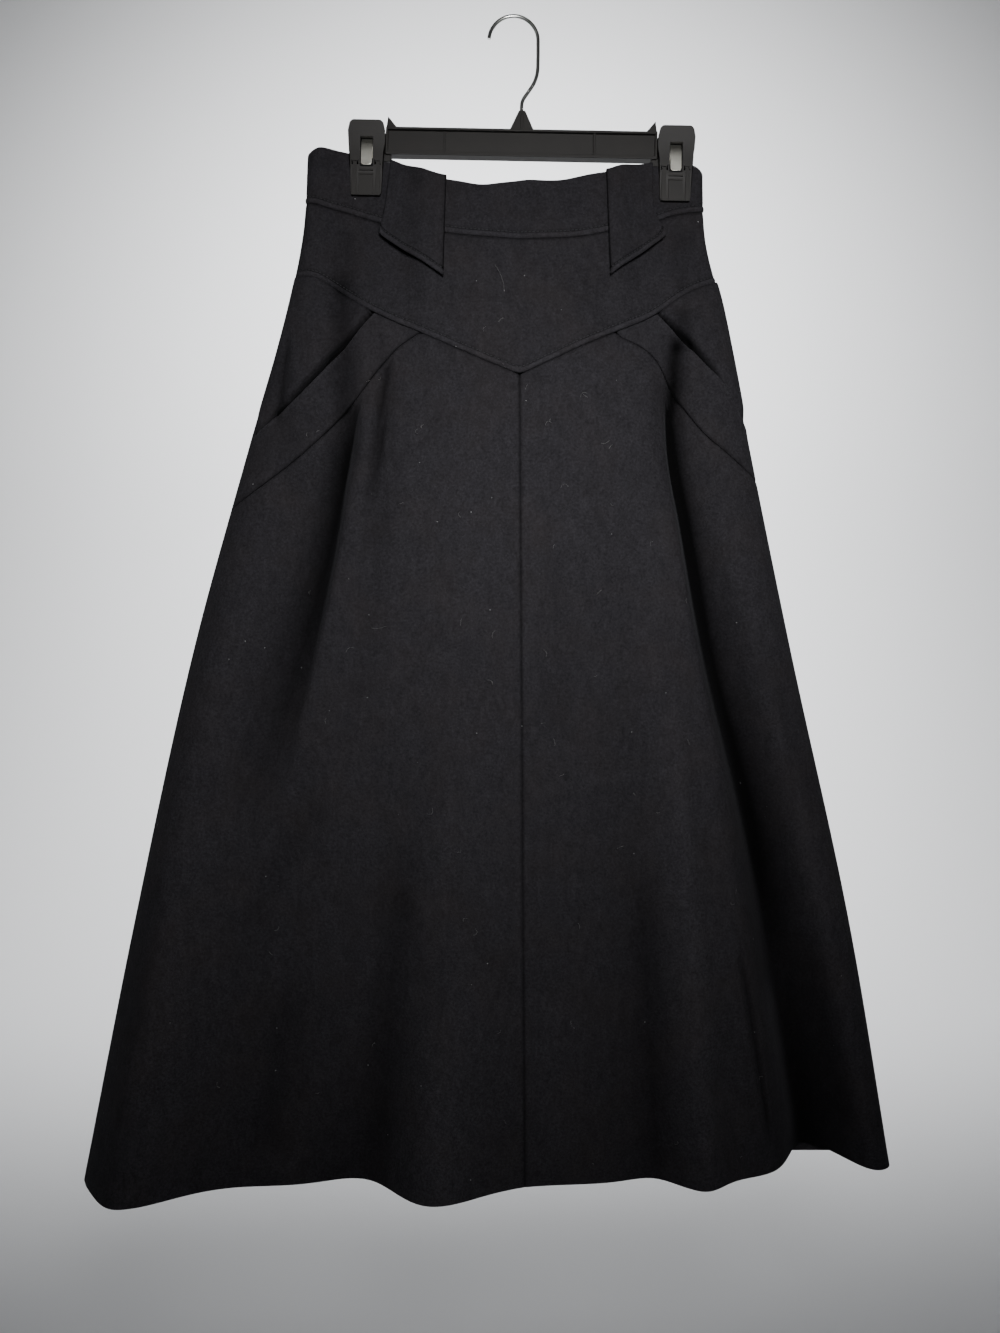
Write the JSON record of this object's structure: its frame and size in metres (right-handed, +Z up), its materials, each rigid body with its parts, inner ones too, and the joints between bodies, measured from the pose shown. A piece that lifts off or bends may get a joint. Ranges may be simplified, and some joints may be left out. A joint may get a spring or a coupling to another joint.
{
  "type": "a-line skirt on clip hanger",
  "caption": "A-line midi skirt in heavy wool with a V yoke, pointed waist tabs and slanted pockets, hung flat from a clip hanger.",
  "frame": {"origin": "under the crown of the hanger's hook, where it sits on its rail or nail", "axes": "+Z up, front of the skirt to -Y, +X to the right of someone who looks at the front"},
  "size_m": [0.7028, 0.1042, 1.0226],
  "materials": {
    "wool": "felted black wool",
    "zip_tape": "woven tape",
    "button": "polished black",
    "hanger_plastic": "moulded black",
    "steel": "drawn bright steel"
  },
  "bodies": {
    "root": {"waistband_front": "wool", "waistband_back_left": "wool", "waistband_back_right": "wool", "waistband_lap": "wool", "yoke_front": "wool", "tab_left": "wool", "tab_right": "wool", "hip_left": "wool", "hip_right": "wool", "pocket_band_left": "wool", "pocket_band_right": "wool", "front_left": "wool", "front_right": "wool", "back_left": "wool", "back_right": "wool", "zip_tape": "zip_tape", "back_button": "button", "hanger_body": "hanger_plastic", "clip_left": "hanger_plastic", "clip_right": "hanger_plastic", "spring_left": "steel", "spring_right": "steel", "hook": "steel"}
  },
  "joints": []
}
